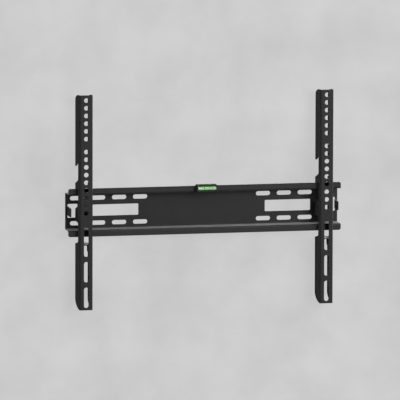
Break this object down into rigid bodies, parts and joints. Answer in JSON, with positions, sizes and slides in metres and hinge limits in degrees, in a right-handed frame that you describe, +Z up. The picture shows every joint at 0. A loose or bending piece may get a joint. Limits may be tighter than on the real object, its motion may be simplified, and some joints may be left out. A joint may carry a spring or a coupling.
{
  "type": "fixed tv wall mount",
  "caption": "Fixed low television wall mount: folded steel rail plate with slots and windows, hooked perforated arms, locking screws and a clip-on bubble level.",
  "frame": {"origin": "middle of the wall plate, on the wall plane that its back lies against", "axes": "+X to the viewer's right along the plate, +Z up, -Y away from the wall towards the viewer, +Y into the wall"},
  "size_m": [0.54, 0.0502, 0.419],
  "materials": {
    "plate_powder_coat": "satin black powder coat",
    "arm_powder_coat": "satin black powder coat",
    "zinc_screw": "zinc plated",
    "holder_plastic": "matt moulded",
    "vial_acrylic": "clear polished",
    "plug_plastic": "pale translucent",
    "level_liquid": "clear green liquid"
  },
  "bodies": {
    "rail": {"wall_plate": "plate_powder_coat", "level_holder": "holder_plastic", "level_vial": "vial_acrylic", "level_plug": "plug_plastic", "level_fluid": "level_liquid"},
    "left_hanger": {"left_arm": "arm_powder_coat", "left_lock_bracket": "arm_powder_coat", "left_lock_screw": "zinc_screw"},
    "right_hanger": {"right_arm": "arm_powder_coat", "right_lock_bracket": "arm_powder_coat", "right_lock_screw": "zinc_screw"}
  },
  "joints": [
    {"name": "left_arm_slide", "type": "slide", "parent": "rail", "child": "left_hanger", "axis": [1, 0, 0], "range_m": [-0.012, 0.2]},
    {"name": "right_arm_slide", "type": "slide", "parent": "rail", "child": "right_hanger", "axis": [1, 0, 0], "range_m": [-0.2, 0.012]}
  ]
}
